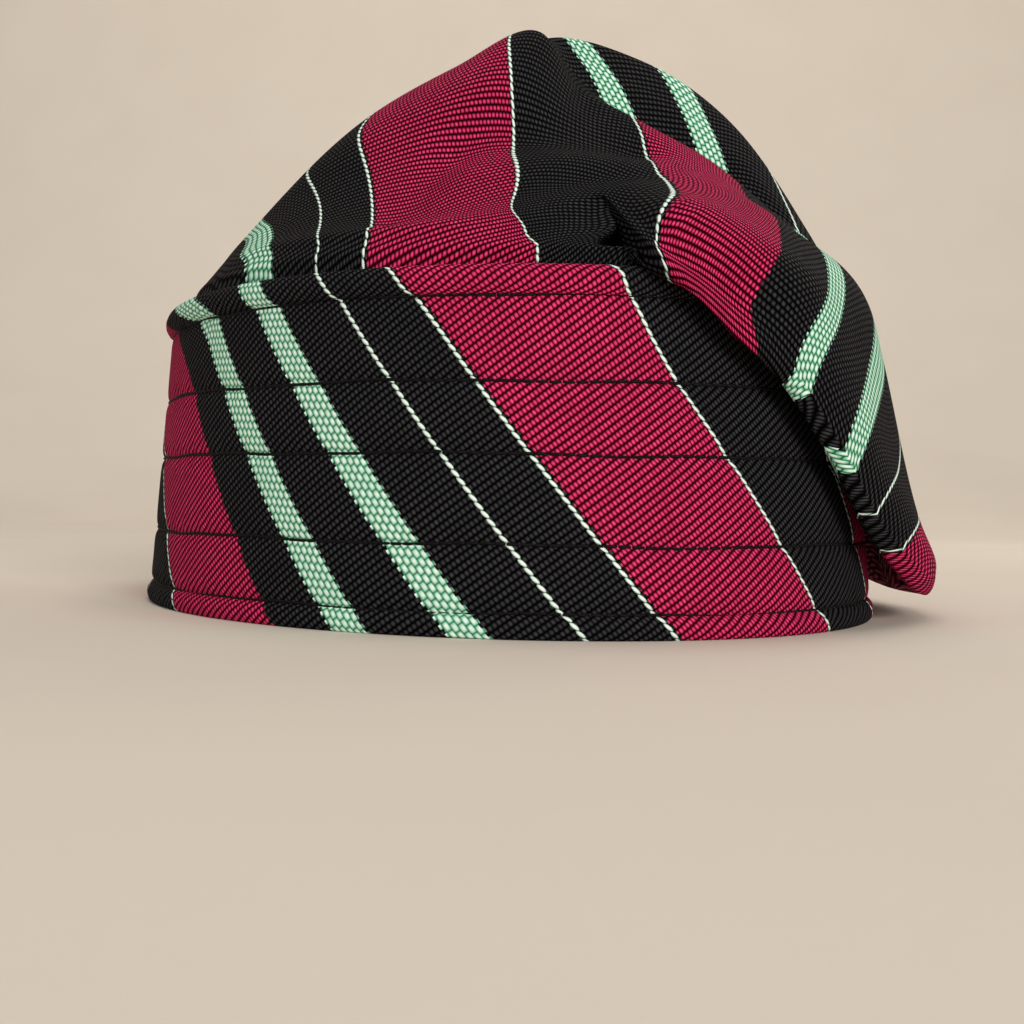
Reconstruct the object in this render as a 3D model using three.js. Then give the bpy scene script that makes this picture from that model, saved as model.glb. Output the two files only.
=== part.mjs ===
// A folded cloth cap: a stiff quilted headband, and a soft crown that rises from inside the band, is pressed
// over to the wearer's left and hangs down outside the band there. Millimetres, z up, the wearer faces -y,
// and the origin is the middle of the foot of the whole cap's box.
import * as THREE from "three";

// Headband: an oval loop, wider at the foot than at the top edge.
const BAND_LENGTH = 197; // front to back at the top edge, outside
const BAND_WIDTH = 166; // side to side at the top edge, outside
const BAND_HEIGHT = 73;
const BAND_FLARE = 0.059 / 70; // growth of the oval for each millimetre down
const BAND_WALL = 3.4; // layers of cloth quilted together
const STITCH_ROWS = [4.8, 18, 35.7, 50, 67]; // heights of the five rows of stitching
const GROOVE = -0.3; // stand-off of a stitch row from the plain wall
const PANEL_PUFF = 0.6; // stand-off of the cloth midway between two rows
const HEM_PUFF = 1.6; // stand-off of the hem at the foot
const ROLL_PUFF = 2.7; // stand-off of the roll at the top edge
const ROLL_PRESS = 0.65; // share of the roll's puff pressed flat under the hanging flap
const PRESS_ANGLE = 80; // direction of the middle of the flap, degrees, in the fold's own frame

// Crown: a cloth bag tucked into the band. Its tables are in the fold's own frame, whose x axis points the way
// the crown is pressed over. That frame is turned by FOLD_TURN from the wearer's.
const FOLD_TURN = 27; // degrees
const CROWN_WALL = 1.2;
const TUCK = 12; // depth of the crown's edge inside the band
const TUCK_IN = 4.4; // from the band's plain outer wall in to the tucked cloth
const FOLD_RISE = 7; // height of the rounded turn at the flap's lower lip
const FOLD_HALF = 4; // half its thickness
const END_LEFT = 6; // length of the rounded end of the top line at the standing side
const END_TIP = 1.5; // and at the tip of the flap

// The top line of the crown, from the standing side (share 0) to the tip of the flap (share 1).
// share, then x, y and z of the far crest, how far the near crest is in front of it and below it, pleat depth
const TOP_LINE = [
  [0.0, -65.5, 1, 95, 14, 0, -2.5],
  [0.12, -40, 7, 123, 20, 0, -2],
  [0.24, -12, 4, 138.8, 18, 0, -1.2],
  [0.34, 9, 1, 149.2, 20, 4, -0.5],
  [0.42, 19, 2, 150.3, 31, 26.5, 2],
  [0.5, 33, 6, 147.5, 50, 36, 8],
  [0.6, 50, 9, 140, 58, 38, 14],
  [0.7, 66, 7, 125, 55, 33.5, 14],
  [0.78, 78, 4, 106.5, 40, 18, 8],
  [0.86, 88.5, -2, 84, 24, 5, 1],
  [0.93, 100, -7, 50, 12, 1, -0.5],
  [1.0, 107.5, -10, 12, 8, 0, -2],
];

// The lower edge of the crown on the near side and on the far side. Where hang is 0 the cloth just stands up
// from the band, where it is 1 the cloth is folded over the band's edge and hangs outside it.
// share, lean of the lip in degrees, its height, its stand-off from the band, hang, set-back above the lip,
// low bulge, high bulge
const NEAR_EDGE = [
  [0.0, 0, 82, -8.5, 0, -4.5, 1, 1],
  [0.12, 0, 83, -9, 0, -9, 0, 2],
  [0.24, 0, 83, -9, 0, -10, -1, 4],
  [0.34, 0, 83, -9, 0, -10, -1, 7],
  [0.42, 0, 83, -9, 0, -10, 0, 6],
  [0.5, 1, 83, -10, 0, -10, 2, 3],
  [0.55, 3, 80, -8, 0.2, -8, 4, 5],
  [0.6, 6, 72.5, 7.3, 0.7, 0, 7, 7],
  [0.7, 6.3, 54, 6.8, 1, 4, 8, 9],
  [0.78, 6.8, 36.5, 6.8, 1, 4, 5.5, 8.6],
  [0.86, 6.2, 20, 7.5, 1, 4, 2.5, 4.6],
  [0.93, 5, 8.5, 11, 1, 4, 0, 0.5],
  [1.0, -4, 4.5, 15.5, 1, 4, 0, 0],
];
const FAR_EDGE = [
  [0.0, 0, 82, -8.5, 0, -4.5, 1, 1],
  [0.12, 0, 83, -8, 0, -7, 2, 4],
  [0.24, 0, 83, -8, 0, -7, 3, 8],
  [0.42, 0, 83, -8, 0, -7, 4, 12],
  [0.6, 0, 82, -6, 0, -6, 6, 12],
  [0.7, -4, 69, 9, 0.7, 0, 7, 10],
  [0.78, -8, 49, 9.5, 1, 4, 6, 8],
  [0.86, -11, 28, 10, 1, 4, 3, 3],
  [0.93, -12, 13, 13, 1, 4, 1, 0.5],
  [1.0, -4, 4.5, 15.5, 1, 4, 0, 0],
];

// Soft folds of the near side, each along a line from one place to another. A place is a share and a span,
// counted up the cloth from its tucked edge.
// share and span of the start, share and span of the end, half width, height (below 0 it is a groove)
const FOLDS = [
  [0.34, 7.1, 0.5, 8.6, 6, -3.5],
  [0.4, 6.8, 0.53, 7.4, 7, 2.5],
  [0.3, 6.0, 0.55, 6.3, 6, -2],
  [0.565, 6.2, 0.588, 5.4, 7, -5],
  [0.6, 5.9, 0.665, 5.7, 5, -2],
  [0.6, 6.5, 0.675, 6.3, 7, 2],
];
const SHARE_LENGTH = 190; // millimetres of cloth for a whole share
const SPAN_LENGTH = 13; // and for a span

const AROUND = 62; // sections around the cap
const CROWDING = 0.17; // the crown's sections crowd together halfway along the top line
const SPAN_STEPS = [1, 3, 2, 2, 3, 3, 4, 4, 4, 3, 3]; // steps up the crown in each span

const UP = new THREE.Vector3(0, 0, 1);
const radians = THREE.MathUtils.degToRad;
const mix = THREE.MathUtils.lerp;

// Distance from the axis to the band's top edge, in the direction angle from the fold's -y axis.
function ovalRadius(angle) {
  const a = angle - radians(FOLD_TURN);
  return 1 / Math.hypot(Math.cos(a) / (BAND_LENGTH / 2), Math.sin(a) / (BAND_WIDTH / 2));
}

// The point at height z that stands off the band's plain outer wall by out.
function besideBand(angle, z, out) {
  const r = ovalRadius(angle) * (1 + BAND_FLARE * (BAND_HEIGHT - Math.min(z, BAND_HEIGHT))) + out;
  return new THREE.Vector3(r * Math.sin(angle), -r * Math.cos(angle), z);
}

// The columns of a table at a share between its rows, by a smooth curve through the rows.
function readTable(table, share) {
  let k = 0;
  while (k < table.length - 2 && share >= table[k + 1][0]) k++;
  const [a, b] = [table[k], table[k + 1]];
  const before = table[Math.max(k - 1, 0)];
  const after = table[Math.min(k + 2, table.length - 1)];
  const h = b[0] - a[0];
  const w = (share - a[0]) / h;
  return a.slice(1).map((start, i) => {
    const c = i + 1;
    const here = (b[c] - start) / h;
    const slope = (p, q) => (q[0] === p[0] ? here : (q[c] - p[c]) / (q[0] - p[0]));
    const blend = (s0, h0, s1, h1) => (s0 * h1 + s1 * h0) / (h0 + h1);
    const m0 = k === 0 ? here : blend(slope(before, a), a[0] - before[0], here, h);
    const m1 = k === table.length - 2 ? here : blend(here, h, slope(b, after), after[0] - b[0]);
    return (
      (1 + 2 * w) * (1 - w) ** 2 * start +
      w * (1 - w) ** 2 * h * m0 +
      w * w * (3 - 2 * w) * b[c] +
      w * w * (w - 1) * h * m1
    );
  });
}

// A closed shell or tube from rings of points: each ring runs around the cap, anticlockwise from above.
function ringFaces(rings, reverse, faces) {
  for (let j = 0; j + 1 < rings.length; j++)
    for (let i = 0; i < AROUND; i++) {
      const n = (i + 1) % AROUND;
      const quad = [rings[j][i], rings[j][n], rings[j + 1][n], rings[j + 1][i]];
      if (reverse) quad.reverse();
      faces.push(quad[0], quad[1], quad[2], quad[0], quad[2], quad[3]);
    }
}

function meshGeometry(faces) {
  const corners = [];
  for (let i = 0; i < faces.length; i += 3) {
    const [a, b, c] = faces.slice(i, i + 3);
    if (a.distanceTo(b) > 2e-3 && b.distanceTo(c) > 2e-3 && c.distanceTo(a) > 2e-3) corners.push(a, b, c);
  }
  return new THREE.BufferGeometry().setFromPoints(corners).rotateZ(-radians(FOLD_TURN));
}

// The section of the band as stand-off and height: up the outer wall, over the top roll, down the inner wall.
function bandSection() {
  const [foot, top] = [STITCH_ROWS[0], STITCH_ROWS.at(-1)];
  const section = [
    [-BAND_WALL, 0],
    [0.25 * HEM_PUFF, 0],
    [0.8 * HEM_PUFF, 0.2 * foot],
    [HEM_PUFF, 0.5 * foot],
    [0.7 * HEM_PUFF, 0.8 * foot],
  ];
  STITCH_ROWS.forEach((row, i) => {
    section.push([GROOVE, row]);
    const next = STITCH_ROWS[i + 1];
    if (next)
      section.push([PANEL_PUFF / 2, row + 1.8], [PANEL_PUFF, (row + next) / 2], [PANEL_PUFF / 2, next - 1.7]);
  });
  const rise = BAND_HEIGHT - top;
  section.push(
    [0.6 * ROLL_PUFF, top + 0.2 * rise],
    [ROLL_PUFF, top + 0.53 * rise],
    [0.78 * ROLL_PUFF, top + 0.83 * rise],
    [0.15 * ROLL_PUFF, BAND_HEIGHT],
    [-0.5 * BAND_WALL, BAND_HEIGHT - 0.1],
    [-0.9 * BAND_WALL, BAND_HEIGHT - 1.6],
    [-BAND_WALL, BAND_HEIGHT - 4],
    [-BAND_WALL, BAND_HEIGHT / 2],
    [-BAND_WALL, 0],
  );
  return section;
}

function bandGeometry() {
  const rings = bandSection().map(([out, z]) =>
    Array.from({ length: AROUND }, (_, i) => {
      const angle = (2 * Math.PI * i) / AROUND;
      const pressed = ((1 + Math.cos(angle - radians(PRESS_ANGLE))) / 2) ** 2;
      const roll = z > STITCH_ROWS.at(-1) && out > 0;
      return besideBand(angle, z, roll ? out * (1 - ROLL_PRESS * pressed) : out);
    }),
  );
  const faces = [];
  ringFaces(rings, false, faces);
  return meshGeometry(faces);
}

// The control points of one strip of the crown, from its tucked edge up to the bottom of the pleat.
function crownStrip(turn) {
  const share = (1 - Math.cos(turn)) / 2;
  const near = Math.sin(turn) >= 0;
  const [x, y, z, gap, drop, pleat] = readTable(TOP_LINE, share);
  const [lean, lipZ, lipOut, hang, setBack, low, high] = readTable(near ? NEAR_EDGE : FAR_EDGE, share);
  const far = new THREE.Vector3(x, y, z);
  const front = far.clone().add(new THREE.Vector3(0, -gap * Math.abs(Math.sin(turn)), -drop));
  const seam = far.clone().lerp(front, 0.5).addScaledVector(UP, -pleat);
  const leftEnd = Math.max(Math.cos(turn), 0) ** 3;
  const tipEnd = Math.max(-Math.cos(turn), 0) ** 3;
  const crest = (near ? front : far).clone();
  crest.x += END_TIP * tipEnd - END_LEFT * leftEnd;
  crest.z -= 2 * END_TIP * tipEnd + 0.92 * END_LEFT * leftEnd;

  const mouth = turn - Math.PI / 2;
  const lip = mouth + radians(lean);
  const wide = Math.min(Math.max(hang / 0.7, 0), 1);
  const free = THREE.MathUtils.smoothstep(hang, 0.7, 1);
  const rise = Math.min(FOLD_RISE, 0.4 * (crest.z - lipZ));
  const underZ = BAND_HEIGHT + 4.4 - 8.6 * hang ** 2;
  const underOut = 7.9 * wide - 4.8;
  const strip = [
    besideBand(mouth, BAND_HEIGHT - TUCK, -TUCK_IN),
    besideBand(mouth, BAND_HEIGHT - 3, -TUCK_IN),
    besideBand(mouth, BAND_HEIGHT + 3.2 - 1.4 * hang, 4.6 * (wide - 1)),
    besideBand(mouth, underZ, underOut),
    besideBand(
      lip,
      mix((underZ + lipZ) / 2, lipZ + rise, free),
      mix((underOut + lipOut) / 2, lipOut - FOLD_HALF, free),
    ),
    besideBand(lip, lipZ, lipOut),
    besideBand(lip, lipZ + rise, lipOut + (setBack * rise) / FOLD_RISE),
  ];
  const over = strip.at(-1);
  const chord = crest.clone().sub(over);
  const outwards = over.clone().addScaledVector(chord, 0.5).setZ(0).normalize();
  const along = chord.clone().normalize();
  outwards.addScaledVector(along, -outwards.dot(along)).normalize();
  strip.push(
    over.clone().addScaledVector(chord, 1 / 3).addScaledVector(outwards, low),
    over.clone().addScaledVector(chord, 2 / 3).addScaledVector(outwards, high),
    crest,
    crest.clone().lerp(seam, 0.55).addScaledVector(UP, 0.35 * Math.max(pleat, 0)),
    seam,
  );
  return strip;
}

// Height of the soft folds at a place on the near side.
function foldHeight(turn, span) {
  const share = (1 - Math.cos(turn)) / 2;
  if (Math.sin(turn) <= 0) return 0;
  const clear = THREE.MathUtils.smoothstep(span, 5, 6.2);
  return clear * FOLDS.reduce((sum, [share0, span0, share1, span1, half, height]) => {
    const start = new THREE.Vector2(share0 * SHARE_LENGTH, span0 * SPAN_LENGTH);
    const line = new THREE.Vector2(share1 * SHARE_LENGTH, span1 * SPAN_LENGTH).sub(start);
    const place = new THREE.Vector2(share * SHARE_LENGTH, span * SPAN_LENGTH).sub(start);
    const part = THREE.MathUtils.clamp(place.dot(line) / line.lengthSq(), 0, 1);
    return sum + height * Math.exp(-((place.distanceTo(line.multiplyScalar(part)) / half) ** 2));
  }, 0);
}

// Outward directions of a grid of rings. The last ring is the seam, where strips i and -i meet.
function outwardNormals(rings) {
  const last = rings.length - 1;
  const normals = rings.map((ring, j) =>
    ring.map((_, i) => {
      const around = ring[(i + 1) % AROUND].clone().sub(ring[(i + AROUND - 1) % AROUND]);
      const upward = rings[Math.min(j + 1, last)][i].clone().sub(rings[Math.max(j - 1, 0)][i]);
      return around.cross(upward).normalize();
    }),
  );
  normals[last] = normals[last].map((n, i) => n.clone().add(normals[last][(AROUND - i) % AROUND]).normalize());
  return normals;
}

function crownGeometry() {
  const places = SPAN_STEPS.flatMap((steps, span) => Array.from({ length: steps }, (_, k) => span + k / steps));
  places.push(SPAN_STEPS.length);
  const turns = Array.from({ length: AROUND }, (_, i) => {
    const even = (2 * Math.PI * i) / AROUND;
    return even + CROWDING * Math.sin(2 * even);
  });
  const curves = turns.map((turn) => {
    const strip = crownStrip(turn);
    const beyond = crownStrip(-turn).at(-2);
    return new THREE.CatmullRomCurve3([...strip, beyond], false, "centripetal");
  });
  const smooth = places.map((span) => curves.map((curve) => curve.getPoint(span / (SPAN_STEPS.length + 1))));
  const lift = outwardNormals(smooth);
  const outer = smooth.map((ring, j) =>
    ring.map((p, i) => p.clone().addScaledVector(lift[j][i], foldHeight(turns[i], places[j]))),
  );
  const normals = outwardNormals(outer);
  const inner = outer.map((ring, j) => ring.map((p, i) => p.clone().addScaledVector(normals[j][i], -CROWN_WALL)));
  const faces = [];
  ringFaces(outer, false, faces);
  ringFaces(inner, true, faces);
  ringFaces([inner[0], outer[0]], false, faces);
  return meshGeometry(faces);
}

const cloth = (colour) => new THREE.MeshStandardMaterial({ color: colour, roughness: 0.9, metalness: 0 });
const parts = [
  ["band", bandGeometry(), cloth(0x5a1c30)],
  ["crown", crownGeometry(), cloth(0x4a1a2b)],
];
const box = new THREE.Box3();
for (const [, geometry] of parts) {
  geometry.computeBoundingBox();
  box.union(geometry.boundingBox);
}
const middle = box.getCenter(new THREE.Vector3());

const cap = new THREE.Group();
cap.name = "fila_cap";
for (const [name, geometry, material] of parts) {
  geometry.translate(-middle.x, -middle.y, -box.min.z);
  geometry.computeVertexNormals();
  const mesh = new THREE.Mesh(geometry, material);
  mesh.name = name;
  cap.add(mesh);
}
export default cap;
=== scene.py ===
import math

import bpy
import numpy as np
from mathutils import Matrix, Vector


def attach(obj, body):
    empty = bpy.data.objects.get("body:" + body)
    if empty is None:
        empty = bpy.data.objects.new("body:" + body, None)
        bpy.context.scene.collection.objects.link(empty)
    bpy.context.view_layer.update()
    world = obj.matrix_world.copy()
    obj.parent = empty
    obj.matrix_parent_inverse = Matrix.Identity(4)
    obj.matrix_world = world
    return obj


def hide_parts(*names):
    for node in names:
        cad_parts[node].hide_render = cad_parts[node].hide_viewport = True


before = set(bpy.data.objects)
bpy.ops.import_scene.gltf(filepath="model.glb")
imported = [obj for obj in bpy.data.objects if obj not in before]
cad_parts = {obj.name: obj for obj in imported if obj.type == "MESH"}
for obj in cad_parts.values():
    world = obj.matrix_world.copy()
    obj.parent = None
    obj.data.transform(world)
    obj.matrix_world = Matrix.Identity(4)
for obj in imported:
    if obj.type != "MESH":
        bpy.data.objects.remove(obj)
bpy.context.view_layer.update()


# The headband is several layers of striped hand-woven cotton, quilted together into a stiff oval loop. Rows
# of stitching pull the cloth in, the foot is hemmed, and the top edge is turned over into a soft roll, which
# the hanging end of the crown presses flat on the wearer's left.
BAND_LONG, BAND_WIDE, BAND_HIGH = 197.0, 166.0, 73.0  # millimetres: outside, at the top edge
BAND_FLARE = 0.059 / 70  # growth of the oval for each millimetre down
BAND_WALL = 3.4
STITCH_ROWS = np.array([4.8, 18.0, 35.7, 50.0, 67.0])  # heights of the rows of stitching
GROOVE, PANEL_PUFF, HEM_PUFF, ROLL_PUFF = -0.3, 0.5, 1.2, 2.7  # stand-off from the plain wall
ROLL_PRESS, PRESS_ANGLE = 0.72, math.radians(80)  # share of the roll pressed flat, and where
EDGE_ROUND, EDGE_FROM = 4.0, 0.45 * math.pi  # the turn over the top edge: its height, and where it starts
INSIDE_TOP = BAND_HIGH - 12  # where the plain inner wall starts
STITCH = 2.5  # length of a stitch
FOLD_TURN = math.radians(27)  # from the wearer's frame to the frame in which the cap is folded
CAP_MIDDLE = np.array([6.730, -3.081, 0.0])  # middle of the cap's box, from the band's axis


def oval_radius(angle):
    """Distance from the axis to the band's top edge: an ellipse's radius, in the direction angle from -y."""
    a = angle - FOLD_TURN
    return 1 / np.hypot(np.cos(a) / (BAND_LONG / 2), np.sin(a) / (BAND_WIDE / 2))


def beside_band(angle, height, out):
    """The point at a height that stands off the band's plain wall by out: the oval grows evenly downwards."""
    r = oval_radius(angle) * (1 + BAND_FLARE * (BAND_HIGH - np.minimum(height, BAND_HIGH))) + out
    return np.stack(np.broadcast_arrays(r * np.sin(angle), -r * np.cos(angle), height), -1)


def in_wearers_frame(points):
    """Millimetres of the folding frame to metres of the wearer's: a turn about z, less the box's middle."""
    c, s = math.cos(FOLD_TURN), math.sin(FOLD_TURN)
    turn = np.array([[c, -s, 0], [s, c, 0], [0, 0, 1]])
    return (points @ turn - CAP_MIDDLE) * 0.001


def cloth_piece(name, points, quads, places):
    """A smooth mesh of four-sided faces. Its UV is the place of each corner in the cloth, in millimetres."""
    mesh = bpy.data.meshes.new(name)
    mesh.vertices.add(len(points))
    mesh.vertices.foreach_set("co", in_wearers_frame(points).astype(np.float32).ravel())
    mesh.loops.add(quads.size)
    mesh.loops.foreach_set("vertex_index", quads.astype(np.int32).ravel())
    mesh.polygons.add(len(quads))
    mesh.polygons.foreach_set("loop_start", np.arange(0, quads.size, 4, dtype=np.int32))
    mesh.update(calc_edges=True)
    mesh.polygons.foreach_set("use_smooth", np.ones(len(quads), bool))
    mesh.uv_layers.new(name="cloth").data.foreach_set("uv", places.astype(np.float32).ravel())
    mesh.validate()
    piece = bpy.data.objects.new(name, mesh)
    bpy.context.scene.collection.objects.link(piece)
    return piece


def quads_of(grid):
    """The four corners of each cell of a grid, anticlockwise: works on vertex numbers and on places alike."""
    return np.stack([grid[:-1, :-1], grid[:-1, 1:], grid[1:, 1:], grid[1:, :-1]], 2).reshape(
        -1, 4, *grid.shape[2:]
    )


HEM_POINTS, PANEL_POINTS, ROLL_POINTS, EDGE_POINTS, INSIDE_POINTS = 14, 26, 18, 7, 6


def eased(count):
    """Shares from 0 to 1 that crowd towards both ends: (1 - cos a) / 2, with a even from 0 to half a turn."""
    return (1 - np.cos(np.linspace(0, np.pi, count))) / 2


def band_section():
    """Stand-off and height up the outer wall, over the roll and down the inner wall. The hem and the roll are
    half rounds. Between two rows of stitching the wall stands off by groove + puff (1 - |2w - 1|^5), where w
    runs from 0 at one row to 1 at the other."""
    foot, top = STITCH_ROWS[0], STITCH_ROWS[-1]
    w = eased(HEM_POINTS)[:-1]
    stand = HEM_PUFF * np.sqrt(1 - (2 * w - 1) ** 2) + GROOVE * w**4
    parts = [np.stack([stand, foot * w], -1)]
    for low, high in zip(STITCH_ROWS[:-1], STITCH_ROWS[1:]):
        w = eased(PANEL_POINTS)[:-1]
        stand = GROOVE + (PANEL_PUFF - GROOVE) * (1 - np.abs(2 * w - 1) ** 5)
        parts.append(np.stack([stand, low + (high - low) * w], -1))
    w = eased(ROLL_POINTS)
    stand = ROLL_PUFF * np.sqrt(1 - (2 * w - 1) ** 2) + GROOVE * (1 - w) ** 4
    parts.append(np.stack([stand, top + (BAND_HIGH - top) * w], -1))
    a = np.linspace(EDGE_FROM, np.pi, EDGE_POINTS)
    stand = BAND_WALL / 2 * (np.cos(a) - 1)
    parts.append(np.stack([stand, BAND_HIGH - EDGE_ROUND + EDGE_ROUND * np.sin(a)], -1))
    inside = np.linspace(INSIDE_TOP, 0, INSIDE_POINTS)
    parts.append(np.stack([np.full(INSIDE_POINTS, -BAND_WALL), inside], -1))
    return np.concatenate(parts + [[[-BAND_WALL / 2, 0.0]]])


# Each row of stitching leaves ripples in the cloth on both sides of it, about one to two stitches.
BAND_COLUMNS = 640
PUCKER, PUCKER_REACH, PUCKER_CLEAR = 0.14, 3.2, 0.9  # height, reach from the row, and gap at the row
RIPPLE, RIPPLE_STARTS = 2.1 * STITCH, (0.0, 1.7, 3.1, 4.4, 5.9)  # length, and the phase at each row
BROAD_COUNT, BROAD_SHARE = 71, 0.6  # a second, broader set: number round the band, share of the height
FOOT_CLEAR = 0.5  # height of the plain edge below the lowest ripples
section = band_section()
angle = np.linspace(-np.pi, np.pi, BAND_COLUMNS + 1)
middle_line = beside_band(angle, BAND_HIGH / 2, 0.0)
arc = np.concatenate([[0], np.cumsum(np.linalg.norm(np.diff(middle_line, axis=0), axis=1))])
BAND_ROUND = arc[-1]
arc = arc - np.interp(0, angle, arc)
out, height = section[:, :1], section[:, 1:]
pressed = np.sqrt((1 + np.cos(angle - PRESS_ANGLE)) / 2)
in_roll = (height > STITCH_ROWS[-1]) & (out > 0)
stands = np.where(in_roll, out * (1 - ROLL_PRESS * pressed), out + 0 * angle)
outer_wall = (out >= GROOVE) & (height > FOOT_CLEAR)
for row, start in zip(STITCH_ROWS, RIPPLE_STARTS):
    ripple = np.sin(np.round(BAND_ROUND / RIPPLE) * angle + start)
    ripple = ripple + BROAD_SHARE * np.sin(BROAD_COUNT * angle + 3 * start)
    away = height - row
    near = np.exp(-((away / PUCKER_REACH) ** 2)) * (1 - np.exp(-((away / PUCKER_CLEAR) ** 2)))
    stands = stands + np.where(outer_wall, PUCKER * near * ripple, 0)
band_points = beside_band(angle[:-1], height, stands[:, :-1])

# Where each point lies in the cloth: s across the stripes, t along them. The cloth is cut on the slant, so
# that three repeats of the stripes go once round. Both places change evenly round and up the band, but for a
# sideways ease in each repeat and another towards the top edge.
STRIPE_REPEAT = 157.3
BAND_START, BAND_SLANT = 67.1, 0.615  # s at the foot, facing the camera, and its gain for each millimetre up
BAND_EASE, EASE_FROM = 4.0, 15.0  # how far the cloth is eased sideways in each repeat, and where it is most
SECTION_ROUND = 155.0  # the way up, over and down the section, back to the foot
EASE_LOW, EASE_REACH = 45.0, 30.0  # how far up the section the ease of the top begins, and its reach
# degrees round the band from the camera's side, sideways ease at the top
TOP_EASE = [
    (-180, 0), (-80, 16), (-65, 11), (-50, 1), (-10, 0), (14, -6), (35, -3), (60, 0), (180, 0),
]
around = 3 * STRIPE_REPEAT / BAND_ROUND
up = np.concatenate([[0], np.cumsum(np.linalg.norm(np.diff(section, axis=0), axis=1))])[:, None]
band_places = np.stack([BAND_START + around * arc + BAND_SLANT * up, around * up - BAND_SLANT * arc], -1)
band_places[..., 0] += BAND_EASE * np.cos((band_places[..., 0] - EASE_FROM) * 2 * np.pi / STRIPE_REPEAT)
top_ease = np.interp(np.degrees(angle), *zip(*TOP_EASE))
band_places[..., 0] += top_ease * np.clip((up - EASE_LOW) / EASE_REACH, 0, 1) ** 2
foot_again = band_places[:1] + SECTION_ROUND * np.array([BAND_SLANT, around])
band_places = np.concatenate([band_places, foot_again])
numbers = np.arange(band_points[..., 0].size).reshape(len(section), BAND_COLUMNS)
numbers = np.concatenate([numbers, numbers[:1]])
numbers = np.concatenate([numbers, numbers[:, :1]], 1)
band = cloth_piece("band_cloth", band_points.reshape(-1, 3), quads_of(numbers), quads_of(band_places))


def linear(code):
    """A colour's sRGB hex code as linear light, with full alpha."""
    c = np.array([int(code[i : i + 2], 16) for i in (1, 3, 5)]) / 255
    return (*np.where(c <= 0.04045, c / 12.92, ((c + 0.055) / 1.055) ** 2.4), 1.0)


def node(tree, kind, *inputs, out=0, **settings):
    """Adds a node, gives it its settings, links or fills its inputs in order, and hands back one output."""
    made = tree.nodes.new(kind)
    for key, value in settings.items():
        setattr(made, key, value)
    for socket, value in zip(made.inputs, inputs):
        if isinstance(value, bpy.types.NodeSocket):
            tree.links.new(value, socket)
        elif value is not None:
            socket.default_value = value
    return made.outputs[out]


# The stripes across one repeat: width in millimetres, and the yarn.
STRIPES = [
    (1.3, "white"), (31.0, "claret"), (11.3, "black"), (5.2, "mint"), (11.3, "black"), (5.2, "mint"),
    (12.0, "black"), (1.3, "white"), (12.4, "black"), (1.3, "white"), (34.5, "claret"), (1.3, "white"),
    (29.2, "black"),
]
# Each yarn's dye, drawn three ways: the ridge of a thread with a painted highlight, its flanks, and the
# hollows between threads in painted shade.
YARN_DYES_WITH_PAINTED_LIGHT = {
    "claret": ("#f0487c", "#76082e", "#140004"),
    "black": ("#3c3c40", "#121214", "#010101"),
    "mint": ("#f0fff7", "#86cbab", "#226a4a"),
    "white": ("#f8fffc", "#d0f0e2", "#0d1411"),
}
BEAD, RIB = 0.91, 1.47  # thread spacing along a rib, and from rib to rib
FLOAT_COLUMN, FLOAT = 1.04, 2.1  # mint: spacing of the columns, and of the floats along one
CHAIN_HALF, CHAIN, CHAIN_SLANT = 0.46, 2.0, 1.1  # white: half width, spacing and slant of its floats
CHAIN_FULL, CHAIN_COVER = 1.15, 0.25  # white: height of a float's middle, and height that hides the ground
EDGE_STEP = 0.44  # how far the edge of a stripe steps to and fro
DYE_LEAST, DYE_SPREAD = 0.72, 0.3  # brightness of the darkest thread, and how much brighter the others are
FADE_LEAST, FADE_SPREAD, FADES = 0.75, 0.5, 0.06  # the same for faded patches, and patches to a millimetre
FLANK_BELOW, FLANK_PAST = 0.4, 0.05  # the heights below the start of the painted highlight and past it, between which the flank comes in over the painted shade
ROUGH, SHINE = 0.9, 0.3  # roughness of a hollow, and how much smoother a ridge is
BUMP, THREAD_RELIEF = 0.8, 0.0004  # strength of the bump, and the height of a thread in it, in metres


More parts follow.
